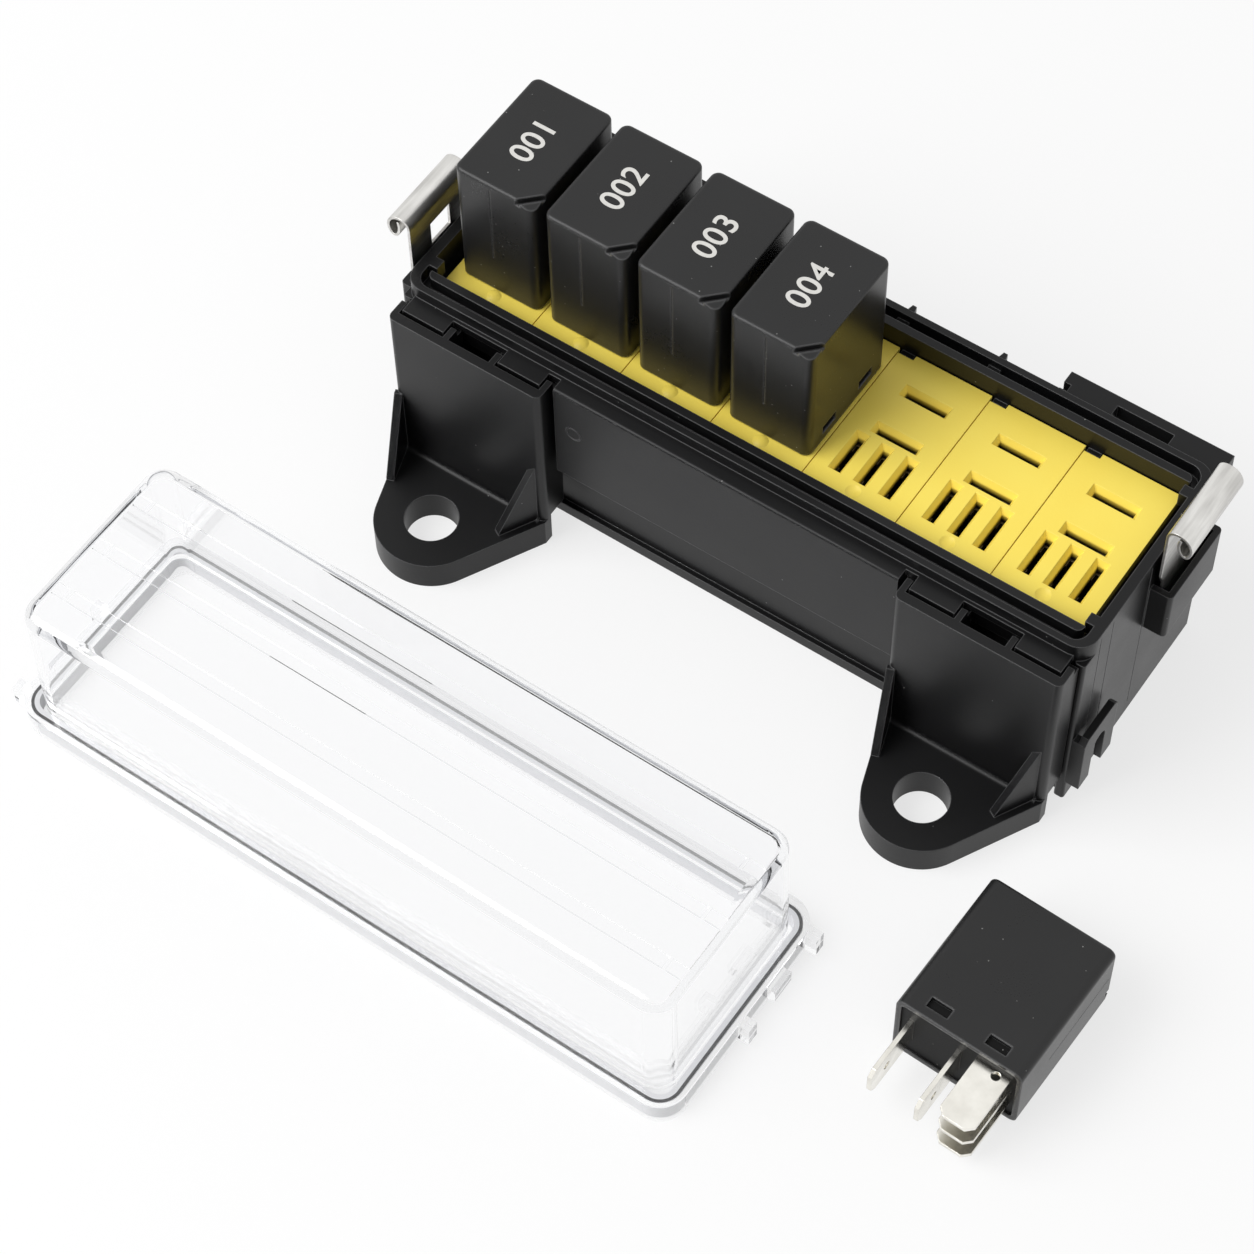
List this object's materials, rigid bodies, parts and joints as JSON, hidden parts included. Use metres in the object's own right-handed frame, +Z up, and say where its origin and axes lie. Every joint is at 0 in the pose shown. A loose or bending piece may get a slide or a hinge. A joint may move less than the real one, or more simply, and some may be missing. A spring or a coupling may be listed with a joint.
{
  "type": "relay box",
  "caption": "Automotive relay box with yellow sockets, plugged relays, end clips, slide-on mounting feet and a clear cover lying beside it.",
  "frame": {"origin": "midpoint between the two foot holes, on the surface that the box stands on", "axes": "+X along the row of sockets, from the plugged relays to the free ones; +Y from the feet to the back of the box; +Z up"},
  "size_m": [0.1763, 0.1302, 0.0663],
  "materials": {
    "black_plastic": "satin moulded",
    "relay_black": "satin moulded",
    "yellow_plastic": "satin moulded",
    "tinned_metal": "bright tinned",
    "spring_steel": "satin nickel",
    "clear_plastic": "clear polished",
    "seal_rubber": "matt"
  },
  "bodies": {
    "box": {"housing": "black_plastic", "socket_1": "yellow_plastic", "socket_2": "yellow_plastic", "socket_3": "yellow_plastic", "socket_4": "yellow_plastic", "socket_5": "yellow_plastic", "socket_6": "yellow_plastic", "socket_7": "yellow_plastic", "contacts_1": "tinned_metal", "contacts_2": "tinned_metal", "contacts_3": "tinned_metal", "contacts_4": "tinned_metal", "contacts_5": "tinned_metal", "contacts_6": "tinned_metal", "contacts_7": "tinned_metal", "mounting_foot_left": "black_plastic", "mounting_foot_right": "black_plastic", "clear_cover": "clear_plastic", "cover_seal": "seal_rubber", "loose_relay_case": "relay_black", "loose_relay_base": "relay_black", "loose_relay_blades": "tinned_metal"},
    "relay_1": {"relay_1_case": "relay_black", "relay_1_base": "relay_black", "relay_1_blades": "tinned_metal"},
    "relay_2": {"relay_2_case": "relay_black", "relay_2_base": "relay_black", "relay_2_blades": "tinned_metal"},
    "relay_3": {"relay_3_case": "relay_black", "relay_3_base": "relay_black", "relay_3_blades": "tinned_metal"},
    "relay_4": {"relay_4_case": "relay_black", "relay_4_base": "relay_black", "relay_4_blades": "tinned_metal"},
    "clip_left": {"cover_clip_left": "spring_steel"},
    "clip_right": {"cover_clip_right": "spring_steel"}
  },
  "joints": [
    {"name": "relay_1_pull", "type": "slide", "parent": "box", "child": "relay_1", "axis": [0, 0, 1], "range_m": [0, 0.016]},
    {"name": "relay_2_pull", "type": "slide", "parent": "box", "child": "relay_2", "axis": [0, 0, 1], "range_m": [0, 0.016]},
    {"name": "relay_3_pull", "type": "slide", "parent": "box", "child": "relay_3", "axis": [0, 0, 1], "range_m": [0, 0.016]},
    {"name": "relay_4_pull", "type": "slide", "parent": "box", "child": "relay_4", "axis": [0, 0, 1], "range_m": [0, 0.016]},
    {"name": "clip_right_bend", "type": "hinge", "parent": "box", "child": "clip_right", "pos_m": [0.0671, 0.0443, 0.0264], "axis": [0, 1, 0], "range_deg": [0, 5], "stiffness_Nm_per_rad": 0.6},
    {"name": "clip_left_bend", "type": "hinge", "parent": "box", "child": "clip_left", "pos_m": [-0.0643, 0.0279, 0.0264], "axis": [0, -1, 0], "range_deg": [0, 5], "stiffness_Nm_per_rad": 0.6}
  ]
}
